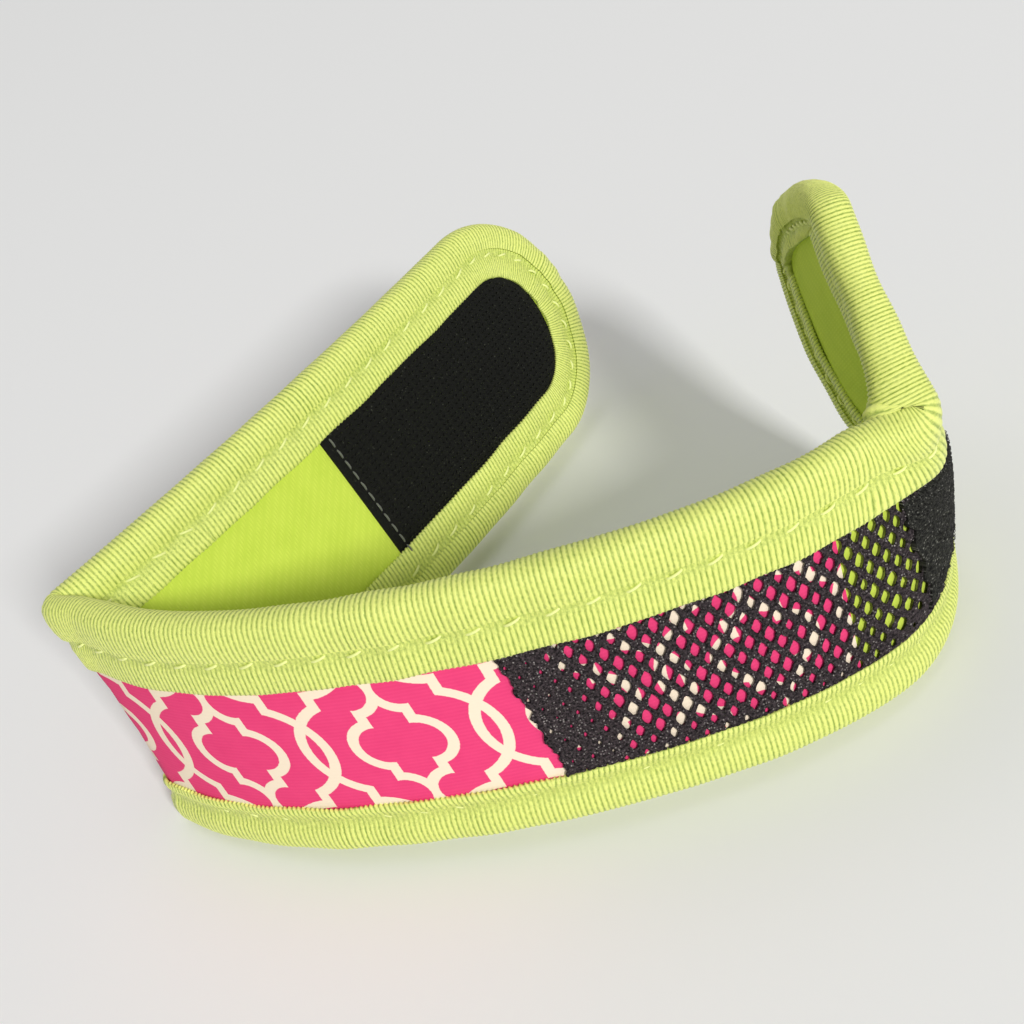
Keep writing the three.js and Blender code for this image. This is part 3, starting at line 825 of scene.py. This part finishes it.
def add_node(tree: bpy.types.NodeTree, kind: str, inputs: dict | None = None,
             **settings: object) -> bpy.types.Node:
    """Add a node with its settings; each input is a value, or a socket to link from."""
    node = tree.nodes.new("ShaderNode" + kind)
    for name, value in settings.items():
        setattr(node, name, value)
    for key, value in (inputs or {}).items():
        socket = node.inputs[key]
        if isinstance(value, bpy.types.NodeSocket):
            tree.links.new(value, socket)
        else:
            socket.default_value = value
    return node


@dataclass(frozen=True)
class Finish:
    """A cloth's look: what its shader is set to, and the pattern that each kind adds."""
    name: str
    colour: str
    dark: str
    roughness: float = 0.8
    sheen: float = 0.2
    specular: float = 0.35

    def material(self) -> bpy.types.Material:
        """Build the material."""
        made = bpy.data.materials.new(self.name)
        made.use_nodes = True
        tree = made.node_tree
        tree.nodes.clear()
        shader = add_node(tree, "BsdfPrincipled", {
            "Roughness": self.roughness, "Sheen Weight": self.sheen, "Sheen Roughness": 0.45,
            "Specular IOR Level": self.specular, "IOR": 1.5})
        out = add_node(tree, "OutputMaterial")
        tree.links.new(shader.outputs["BSDF"], out.inputs["Surface"])
        self.weave(tree, shader)
        made.diffuse_color = linear(self.colour)
        return made

    @staticmethod
    def dress(tree: bpy.types.NodeTree, shader: bpy.types.Node, colour: bpy.types.NodeSocket,
              height: bpy.types.NodeSocket, strength: float, depth: float) -> None:
        """Give the shader its colour, and a relief of a depth in mm."""
        relief = add_node(tree, "Bump", {"Height": height, "Strength": strength, "Distance": depth * MM})
        tree.links.new(colour, shader.inputs["Base Color"])
        tree.links.new(relief.outputs[0], shader.inputs["Normal"])

    def weave(self, tree: bpy.types.NodeTree, shader: bpy.types.Node) -> None:
        """Link the colour and the relief; plain cloth has an even grain."""
        uv = add_node(tree, "UVMap", uv_map="UVMap")
        noise = add_node(tree, "TexNoise", {"Vector": uv.outputs[0], "Scale": 1.4, "Detail": 6.0})
        mix = add_node(tree, "Mix", {0: noise.outputs[0], 6: linear(self.dark), 7: linear(self.colour)},
                       data_type="RGBA")
        self.dress(tree, shader, mix.outputs[2], noise.outputs[0], 0.3, 0.1)


@dataclass(frozen=True)
class RibbedTape(Finish):
    """Polyester grosgrain binding: satin ribs, with a painted yellow highlight on their crests
    and painted green shade in the valleys.

    The ribs are geometry; the "painted_rib_light" attribute is 1 on a crest, where the highlight is
    painted, and 0 in a valley, where the shade is painted. Fine filaments run along each rib.
    """

    def weave(self, tree: bpy.types.NodeTree, shader: bpy.types.Node) -> None:
        """Paint a highlight on the crests and shade in the valleys, and lay filaments of 0.2 mm across the
        tape.
        """
        uv = add_node(tree, "UVMap", uv_map="UVMap")
        crest = add_node(tree, "Attribute", attribute_name="painted_rib_light")
        long = add_node(tree, "VectorMath", {0: uv.outputs[0], 1: (3.6, 1.9, 0.0)}, operation="MULTIPLY")
        yarn = add_node(tree, "TexNoise", {"Vector": long.outputs[0], "Scale": 1.0, "Detail": 5.0,
                                           "Roughness": 0.7})
        uneven = add_node(tree, "TexNoise", {"Vector": uv.outputs[0], "Scale": 0.12, "Detail": 3.0})
        lifted = add_node(tree, "Math", {0: yarn.outputs[0], 1: 1.5, 2: -0.75}, operation="MULTIPLY_ADD")
        shade = add_node(tree, "Math", {0: crest.outputs["Fac"], 1: lifted.outputs[0]}, operation="ADD",
                         use_clamp=True)
        # The ramp paints the valleys in the dark shade colour and the crests in the bright highlight colour.
        ramp = add_node(tree, "ValToRGB", {"Fac": shade.outputs[0]})
        low, high = ramp.color_ramp.elements
        low.position, low.color = 0.12, linear(self.dark)
        high.position, high.color = 0.85, linear(self.colour)
        worn = add_node(tree, "Mix", {0: uneven.outputs[0], 6: (0.93, 0.95, 0.9, 1),
                                      7: (1.03, 1.02, 1.05, 1)}, data_type="RGBA")
        mix = add_node(tree, "Mix", {0: 1.0, 6: ramp.outputs[0], 7: worn.outputs[2]}, data_type="RGBA",
                       blend_type="MULTIPLY")
        self.dress(tree, shader, mix.outputs[2], yarn.outputs[0], 0.9, 0.16)


@dataclass(frozen=True)
class Jersey(Finish):
    """Knitted polyester jersey bonded to the foam: rows of tiny stitches, drawn at 0.45 mm."""

    def weave(self, tree: bpy.types.NodeTree, shader: bpy.types.Node) -> None:
        """Cross two fine waves into stitches, with a soft unevenness in colour."""
        uv = add_node(tree, "UVMap", uv_map="UVMap")
        rows = add_node(tree, "TexWave", {"Vector": uv.outputs[0], "Scale": 0.36, "Distortion": 0.6,
                                          "Detail": 1.0, "Detail Scale": 3.0}, bands_direction="DIAGONAL")
        wales = add_node(tree, "TexWave", {"Vector": uv.outputs[0], "Scale": 0.7, "Distortion": 0.4},
                         bands_direction="X")
        stitch = add_node(tree, "Math", {0: rows.outputs["Fac"], 1: wales.outputs["Fac"]},
                          operation="MULTIPLY")
        cloud = add_node(tree, "TexNoise", {"Vector": uv.outputs[0], "Scale": 0.2, "Detail": 4.0})
        tone = add_node(tree, "Math", {0: stitch.outputs[0], 1: 0.45, 2: cloud.outputs[0]},
                        operation="MULTIPLY_ADD", use_clamp=True)
        mix = add_node(tree, "Mix", {0: tone.outputs[0], 6: linear(self.dark), 7: linear(self.colour)},
                       data_type="RGBA")
        self.dress(tree, shader, mix.outputs[2], stitch.outputs[0], 0.35, 0.1)


@dataclass(frozen=True)
class TrellisPrint(Jersey):
    """Printed jersey: a cream trellis of ogee quatrefoils on hot pink, with lines 1.4 mm wide.

    An outline is the edge of a side lobe's circle joined to an upper column, whose top is cut by
    a circle outside it into a point. The print is cream where the distance to an outline is
    under half the line. Large outlines overlap their neighbours, and small ones fill them.
    """
    line: float = 1.42
    repeat: float = 23.3
    centre: tuple[float, float] = (41.75, -1.85)
    lean: float = 0.16
    cream: str = "#fbe9d0"

    def weave(self, tree: bpy.types.NodeTree, shader: bpy.types.Node) -> None:
        """Draw the trellis on the cloth's own coordinates."""
        uv = add_node(tree, "UVMap", uv_map="UVMap")
        place = add_node(tree, "SeparateXYZ", {0: uv.outputs[0]})
        up = add_node(tree, "Math", {0: place.outputs[1], 1: -self.centre[1]}, operation="ADD").outputs[0]
        along = add_node(tree, "Math", {0: up, 1: self.lean, 2: place.outputs[0]}, operation="MULTIPLY_ADD")
        moved = add_node(tree, "Math", {0: along.outputs[0], 1: 20.5 * self.repeat - self.centre[0]},
                         operation="ADD")
        within = add_node(tree, "Math", {0: moved.outputs[0], 1: self.repeat}, operation="MODULO")
        centred = add_node(tree, "Math", {0: within.outputs[0], 1: self.repeat / 2}, operation="SUBTRACT")
        x = add_node(tree, "Math", {0: centred.outputs[0]}, operation="ABSOLUTE").outputs[0]
        y = add_node(tree, "Math", {0: up}, operation="ABSOLUTE").outputs[0]
        folded = add_node(tree, "CombineXYZ", {0: x, 1: y}).outputs[0]
        beside = add_node(tree, "VectorMath", {0: folded, 1: (-1, 1, 1), 2: (self.repeat, 0, 0)},
                          operation="MULTIPLY_ADD").outputs[0]
        large = ((5.15, 7.95), 8.2, (8.6, 17.4, 7.9))
        small = ((2.5, 3.8), 3.1, (3.4, 9.1, 3.5))
        nearest = self.outline(tree, folded, small)
        for where in (folded, beside):
            other = self.outline(tree, where, large)
            nearest = add_node(tree, "Math", {0: nearest, 1: other}, operation="MINIMUM").outputs[0]
        bleed = add_node(tree, "TexNoise", {"Vector": uv.outputs[0], "Scale": 2.2, "Detail": 3.0})
        soft = add_node(tree, "Math", {0: bleed.outputs[0], 1: 0.16, 2: nearest}, operation="MULTIPLY_ADD")
        edge = self.line / 2 + 0.08
        cream = add_node(tree, "MapRange", {"Value": soft.outputs[0], "From Min": edge + 0.05,
                                            "From Max": edge - 0.05})
        course = add_node(tree, "TexWave", {"Vector": uv.outputs[0], "Scale": 0.55, "Distortion": 0.5,
                                            "Detail": 1.0}, bands_direction="Y")
        cloud = add_node(tree, "TexNoise", {"Vector": uv.outputs[0], "Scale": 0.3, "Detail": 5.0})
        tone = add_node(tree, "Math", {0: course.outputs["Fac"], 1: 0.3, 2: cloud.outputs[0]},
                        operation="MULTIPLY_ADD", use_clamp=True)
        ground = add_node(tree, "Mix", {0: tone.outputs[0], 6: linear(self.dark), 7: linear(self.colour)},
                          data_type="RGBA")
        mix = add_node(tree, "Mix", {0: cream.outputs[0], 6: ground.outputs[2], 7: linear(self.cream)},
                       data_type="RGBA")
        self.dress(tree, shader, mix.outputs[2], course.outputs["Fac"], 0.2, 0.08)

    @staticmethod
    def outline(tree: bpy.types.NodeTree, place: bpy.types.NodeSocket,
                sizes: tuple[tuple[float, float], float, tuple[float, float, float]]) -> bpy.types.NodeSocket:
        """How far a place is from an ogee quatrefoil's outline.

        Args:
            tree: the material's nodes.
            place: the place, folded into the first quarter.
            sizes: the side circle's centre and radius, the column's half width, and the centre
                and radius of the circle that points its top.

        Returns:
            The socket with the distance in mm.
        """
        (lobe_at, lobe_radius), column, (cut_x, cut_y, cut_radius) = sizes
        parts = add_node(tree, "SeparateXYZ", {0: place})
        lobe = add_node(tree, "VectorMath", {0: place, 1: (lobe_at, 0, 0)}, operation="DISTANCE")
        lobe = add_node(tree, "Math", {0: lobe.outputs["Value"], 1: lobe_radius}, operation="SUBTRACT")
        cut = add_node(tree, "VectorMath", {0: place, 1: (cut_x, cut_y, 0)}, operation="DISTANCE")
        cut = add_node(tree, "Math", {0: cut_radius, 1: cut.outputs["Value"]}, operation="SUBTRACT")
        side = add_node(tree, "Math", {0: parts.outputs[0], 1: column}, operation="SUBTRACT")
        top = add_node(tree, "Math", {0: side.outputs[0], 1: cut.outputs[0]}, operation="MAXIMUM")
        both = add_node(tree, "Math", {0: lobe.outputs[0], 1: top.outputs[0]}, operation="MINIMUM")
        return add_node(tree, "Math", {0: both.outputs[0]}, operation="ABSOLUTE").outputs[0]


@dataclass(frozen=True)
class BlackKnit(Finish):
    """Black textured nylon yarn, with pale glints where single filaments catch the light."""
    glint: str = "#b9b6ae"
    grain: float = 4.2
    glints: float = 0.66

    def weave(self, tree: bpy.types.NodeTree, shader: bpy.types.Node) -> None:
        """Mix dark yarn with sparse glints, both on a grain near the yarn's own thickness."""
        uv = add_node(tree, "UVMap", uv_map="UVMap")
        yarn = add_node(tree, "TexNoise", {"Vector": uv.outputs[0], "Scale": self.grain, "Detail": 4.0,
                                           "Roughness": 0.75})
        spark = add_node(tree, "TexVoronoi", {"Vector": uv.outputs[0], "Scale": self.grain * 1.15})
        hairs = add_node(tree, "MapRange", {"Value": yarn.outputs[0], "From Min": 0.42, "From Max": 0.62})
        ground = add_node(tree, "Mix", {0: hairs.outputs[0], 6: linear(self.dark), 7: linear(self.colour)},
                          data_type="RGBA")
        chosen = add_node(tree, "SeparateXYZ", {0: spark.outputs["Color"]})
        lit = add_node(tree, "MapRange", {"Value": chosen.outputs[0], "From Min": self.glints,
                                          "From Max": 1.0, "To Max": 0.9})
        near = add_node(tree, "MapRange", {"Value": spark.outputs["Distance"], "From Min": 0.42,
                                           "From Max": 0.12})
        share = add_node(tree, "Math", {0: lit.outputs[0], 1: near.outputs[0]}, operation="MULTIPLY")
        # The glints are a painted highlight: the pale glint colour mixed into the base colour at sparse
        # spots.
        mix = add_node(tree, "Mix", {0: share.outputs[0], 6: ground.outputs[2], 7: linear(self.glint)},
                       data_type="RGBA")
        self.dress(tree, shader, mix.outputs[2], yarn.outputs[0], 0.8, 0.25)


# ---- the wristband ---------------------------------------------------------------------------------------

@dataclass
class Wristband:
    """The whole band: its layers, its tape, its threads and its patches, in three runs."""
    layout: Layout

    RUNS: ClassVar[dict[Span, tuple[str, ...]]] = {
        Span.TAB: ("tab",), Span.LEFT: ("left", "front"), Span.RIGHT: ("front", "right")}

    def finish_piece(self, piece: bpy.types.Object, span: Span, material: bpy.types.Material,
                     nodes: Sequence[str]) -> None:
        """Dress a piece, bake its placement and hide the solids that it stands for."""
        piece.data.materials.clear()
        piece.data.materials.append(material)
        self.layout.follow(piece, span)
        if nodes:
            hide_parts(*nodes)
        LOG.info("%s: %d faces", piece.name, len(piece.data.polygons))

    def build(self) -> None:
        """Make every piece in order, from the foam outwards."""
        self.layers()
        self.panels()
        self.tape()
        self.patches()

    def layers(self) -> None:
        """The foam and the jersey bonded to its two faces."""
        layout = self.layout
        # Closed-cell neoprene, skived to thickness: dull dark grey with a fine even grain.
        foam_look = Finish("neoprene foam", "#34363a", "#232427", 0.9, 0.0).material()
        # Warp-knitted polyester jersey, bonded flat: matt lime with faint diagonal rows.
        jersey_look = Jersey("lime jersey", "#d2e459", "#bed548", 0.85, 0.0, 0.2).material()
        for span, parts in self.RUNS.items():
            first, last = layout.ends(span)
            foam = Sheet(layout, f"{span.value}_foam", Face.OUTER, (-0.9, 0.9), -17.6, 17.6, 2.0).build(span)
            cores = {Span.TAB: ["tab_foam_core", "tab_fold_core"],
                     Span.LEFT: ["left_foam_core", "left_fold_core"],
                     Span.RIGHT: ["front_foam_core", "right_foam_core", "right_fold_core"]}[span]
            self.finish_piece(foam, span, foam_look, cores)
            for face, word in ((Face.INNER, "lining"), (Face.OUTER, "facing")):
                slack = 0.25 if face is Face.INNER else 0.0
                cloth = Sheet(layout, f"{span.value}_{word}_cloth", face, (1.0, 1.32), -17.8, 17.8, 1.0,
                              slack).build(span)
                replaced = [f"{part}_{word}" for part in parts if not (span is Span.LEFT and part == "front")]
                self.finish_piece(cloth, span, jersey_look, replaced)

    def panels(self) -> None:
        """The print, the mesh over it and the loop panel, in the outer window."""
        layout = self.layout
        low, high = layout.window[0] - layout.tuck, layout.window[1] + layout.tuck
        # Screen-printed jersey: flat matt ink, with edges that bleed a little into the knit.
        print_look = TrellisPrint("printed jersey, pink and cream", "#f2477f", "#e63a74", 0.8, 0.0,
                                  0.2).material()
        runs = {Span.TAB: (None, None, ["tab_print_panel"]),
                Span.LEFT: (None, None, ["left_print_panel"]),
                Span.RIGHT: (layout.front_cut, 99.8, ["front_print_panel"])}
        for span, (start, stop, nodes) in runs.items():
            panel = Sheet(layout, f"{span.value}_print", Face.OUTER, (1.36, 1.5), low, high, 0.9, 0.03,
                          inset=7.6).build(span, start, stop)
            self.finish_piece(panel, span, print_look, nodes)
            first, last = layout.ends(span)
        # Textured nylon mesh: black yarn whose loose filaments sparkle grey.
        mesh_look = BlackKnit("black knitted mesh", "#4c4245", "#0e0a0c", 0.8, 0.0, 0.2, "#b5aeaa", 2.6,
                              0.5).material()
        overlay = MeshOverlay(layout).build("mesh_overlay_knit")
        self.finish_piece(overlay, Span.RIGHT, mesh_look, ["mesh_overlay"])
        # Brushed nylon loop: a matt black ground with a haze of pale glints painted where its fibres catch
        # the light.
        loop_look = BlackKnit("black brushed loop", "#3a3a35", "#090908", 0.9, 0.0, 0.15, "#9b9a90", 2.2,
                              0.5).material()
        panel = Sheet(layout, "loop_panel", Face.OUTER, (1.36, 1.5), low, high, 0.45, 0.35, 0.13, 7.4, 0.56)
        loop = panel.build(Span.RIGHT, 110.4, None, lambda v: 0.3 * waves(v, 51, 2.0, 6.0))
        self.finish_piece(loop, Span.RIGHT, loop_look,
                          ["front_loop_panel", "right_loop_panel"])
        draw = np.random.default_rng(9)
        count = 1500
        u = draw.uniform(111.2, layout.strap.right_end - 7.5, count)
        v = draw.uniform(low + 2.6, high - 2.6, count)
        pile = Pile(layout, Face.OUTER, 2.1, 0.36, 0.045, 0.7)
        loops = pile.build("loop_pile", u, v, draw.uniform(0, 2 * math.pi, count), hooked=False)
        # The loops themselves: slightly glossy nylon, drawn coarser than real pile so that it shows.
        yarn_look = BlackKnit("black loop yarn", "#403f3a", "#141412", 0.6, 0.1, 0.3, "#8a887e", 3.0,
                              0.6).material()
        self.finish_piece(loops, Span.RIGHT, yarn_look, [])

    def tape(self) -> None:
        """The ribbed binding round the whole edge, and the thread that holds it."""
        binding = Binding(self.layout)
        stitching = Stitching(binding)
        # Woven polyester grosgrain: satin ribs, with a yellow highlight painted on their crests and green
        # shade painted between them.
        tape_look = RibbedTape("ribbed lime binding", "#f1f887", "#88a338", 0.45, 0.1, 0.5).material()
        # Spun polyester: pale and softly shining, a shade lighter than the tape.
        thread_look = Finish("spun polyester thread", "#fbfdb4", "#eaf58c", 0.55, 0.1).material()
        runs = [(Span.TAB, None, "tab", ["tab_binding"], ["tab_outer_seam"], ["tab_inner_seam"]),
                (Span.LEFT, True, "left_upper", ["left_binding_upper", "front_binding_upper"],
                 ["left_outer_seam_upper", "front_outer_seam_upper"],
                 ["left_inner_seam_upper", "front_inner_seam_upper"]),
                (Span.LEFT, False, "left_lower", ["left_binding_lower", "front_binding_lower"],
                 ["left_outer_seam_lower", "front_outer_seam_lower"],
                 ["left_inner_seam_lower", "front_inner_seam_lower"]),
                (Span.RIGHT, None, "right", ["right_binding"], ["right_outer_seam"], ["right_inner_seam"])]
        for span, upper, word, tape_nodes, outer_nodes, inner_nodes in runs:
            tape = binding.build(f"{word}_tape", span, upper)
            self.finish_piece(tape, span, tape_look, tape_nodes)
            long = self.length_of(binding, span, upper)
            for face, nodes in ((Face.OUTER, outer_nodes), (Face.INNER, inner_nodes)):
                thread = stitching.build(f"{word}_{face.name.lower()}_stitches", span, face, upper)
                self.finish_piece(thread, span, thread_look, nodes)

    @staticmethod
    def length_of(binding: Binding, span: Span, upper: bool | None) -> float:
        """The tape's length along the edge in mm."""
        return float(binding.stations(span, upper)[2][-1] * binding.rib_pitch)

    def patches(self) -> None:
        """The hook patch inside the tab, its hooks and its seam."""
        layout = self.layout
        # Woven nylon ground of the hook tape: near black, with very few glints.
        base_look = BlackKnit("woven hook tape", "#13140f", "#080906", 0.7, 0.0, 0.2, "#4c4e42", 2.4,
                              0.93).material()
        # Moulded nylon hooks: black with a soft plastic shine.
        hook_look = Finish("moulded nylon hooks", "#171813", "#0d0e0a", 0.5, 0.0, 0.3).material()
        # Cotton-covered thread: dull grey, worn flat on the patch.
        seam_look = Finish("grey sewing thread", "#7c7f72", "#4c4e46", 0.7, 0.2).material()
        edge = -layout.strap.fold_length - layout.tab_flex
        half = layout.strap.half - layout.inner_leaf + layout.tuck
        patch = Sheet(layout, "hook_tape", Face.INNER, (1.36, 1.5), -half, half, 0.8, 0.1, inset=7.2,
                      proud=0.33)
        tape = patch.build(Span.TAB, None, edge)
        self.finish_piece(tape, Span.TAB, base_look, ["hook_patch"])
        row_pitch, pitch = 1.05, 1.0
        rows = np.arange(layout.strap.left_end + 9.5, edge - 2.6, row_pitch)
        v = np.arange(-half + 2.6, half - 2.5, pitch)
        u, v = (a.ravel() for a in np.meshgrid(rows, v, indexing="ij"))
        wing = layout.strap.left
        begin = layout.strap.left_end + wing.tip_length
        limit = (wing.tip_length - 10.0) * np.sqrt(np.clip(1 - (v / (half - 2.2)) ** 2, 0, 1))
        keep = u > begin - limit
        draw = np.random.default_rng(4)
        turn = np.where((u[keep] / row_pitch).astype(int) % 2 == 0, 0.0, math.pi)
        turn = turn + draw.normal(0, 0.25, keep.sum())
        hooks = Pile(layout, Face.INNER, 1.9, 0.5, 0.09, 0.5)
        field_of_hooks = hooks.build("hook_field", u[keep], v[keep], turn, hooked=True)
        self.finish_piece(field_of_hooks, Span.TAB, hook_look, [])
        t = np.linspace(-1, 1, 7)
        at = np.arange(-half + 1.4, half - 1.0, 2.1)
        core, normal = layout.strap.surface(
            np.full((len(at), 7), edge - 1.5), at[:, None] + t * 0.75, -(1.98 + 0.16 * (1 - t**2)))
        seam = thread_mesh("hook_tape_stitches", core, -normal, 0.17 * (1 - 0.35 * t**4))
        self.finish_piece(seam, Span.TAB, seam_look, ["hook_patch_seam"])


# ---- the view -----------------------------------------------------------------------------------------

@dataclass(frozen=True)
class Studio:
    """A plain pale floor, soft light and the camera."""
    strap: Strap
    camera_at: tuple[float, float, float] = (28.59, -120.56, 149.42)  # mm, in the strap's frame
    heading: float = 10.53   # degrees that it looks to the left of +Y
    dip: float = 39.27       # degrees that it looks down
    roll: float = 20.83      # degrees that it is turned clockwise about its own view
    lens: float = 50.2       # mm, on a sensor 36 mm wide
    floor_half: float = 12.0
    sky: float = 0.34
    # name, place and width in metres, power in watts
    LAMPS: ClassVar[tuple] = (("key", (2.18, -3.6, 2.56), 0.8, 176.0),
                              ("overhead", (-0.8, 1.0, 3.8), 3.6, 28.8))

    def camera(self) -> None:
        """Place the camera: it looks along -Z of its own frame, with +Y upwards."""
        axes = rotation("Z", self.heading) @ rotation("X", 90 - self.dip) @ rotation("Z", -self.roll)
        data = bpy.data.cameras.new("camera")
        data.lens, data.sensor_width, data.clip_start = self.lens, 36.0, 0.005
        camera = bpy.data.objects.new("camera", data)
        place = (np.array(self.camera_at) + self.strap.shift) * MM
        camera.matrix_world = Matrix([[*axes[i], place[i]] for i in range(3)] + [[0, 0, 0, 1]])
        bpy.context.scene.collection.objects.link(camera)
        bpy.context.scene.camera = camera

    def floor(self) -> None:
        """A wide matt floor."""
        size = self.floor_half
        mesh = bpy.data.meshes.new("floor")
        mesh.from_pydata([(-size, -size, 0), (size, -size, 0), (size, size, 0), (-size, size, 0)], [],
                         [(0, 1, 2, 3)])
        floor = bpy.data.objects.new("floor", mesh)
        bpy.context.scene.collection.objects.link(floor)
        made = bpy.data.materials.new("pale floor")
        made.use_nodes = True
        paint = made.node_tree.nodes["Principled BSDF"].inputs
        paint["Base Color"].default_value = linear("#f2f2f1")
        paint["Roughness"].default_value = 0.9
        paint["Specular IOR Level"].default_value = 0.0
        mesh.materials.append(made)

    def light(self) -> None:
        """A key light low in front on the right, a wide one overhead and an even sky."""
        for name, place, size, power in self.LAMPS:
            data = bpy.data.lights.new(name, "AREA")
            data.size, data.energy = size, power
            lamp = bpy.data.objects.new(name, data)
            lamp.location = place
            lamp.rotation_euler = (Vector((0, 0, 0.02)) - Vector(place)).to_track_quat("-Z", "Y").to_euler()
            bpy.context.scene.collection.objects.link(lamp)
        world = bpy.data.worlds.new("studio")
        world.use_nodes = True
        world.node_tree.nodes["Background"].inputs[0].default_value = (1, 1, 1, 1)
        world.node_tree.nodes["Background"].inputs[1].default_value = self.sky
        bpy.context.scene.world = world
        bpy.context.scene.view_settings.view_transform = "Standard"


def main() -> None:
    """Build the band round the frame and set up the view."""
    logging.basicConfig(level=logging.INFO, format="%(name)s: %(message)s")
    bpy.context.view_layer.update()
    strap = Strap()
    layout = Layout(strap)
    fold, flex = (np.array(JOINTS[name]["pos_m"]) / MM for name in ("left_fold", "hook_tab_curl"))
    flex_here, _ = strap.surface(np.array(-strap.fold_length - layout.tab_flex), np.array(0.0), np.array(0.0))
    strap.shift = np.array([*(fold[:2] - strap.left_pivot), flex[2] - flex_here[2]])
    LOG.info("the strip's frame is set down by %s mm", np.round(strap.shift, 3))
    studio = Studio(strap)
    studio.camera()
    studio.floor()
    studio.light()
    Wristband(layout).build()


if __name__ == "__main__":
    main()
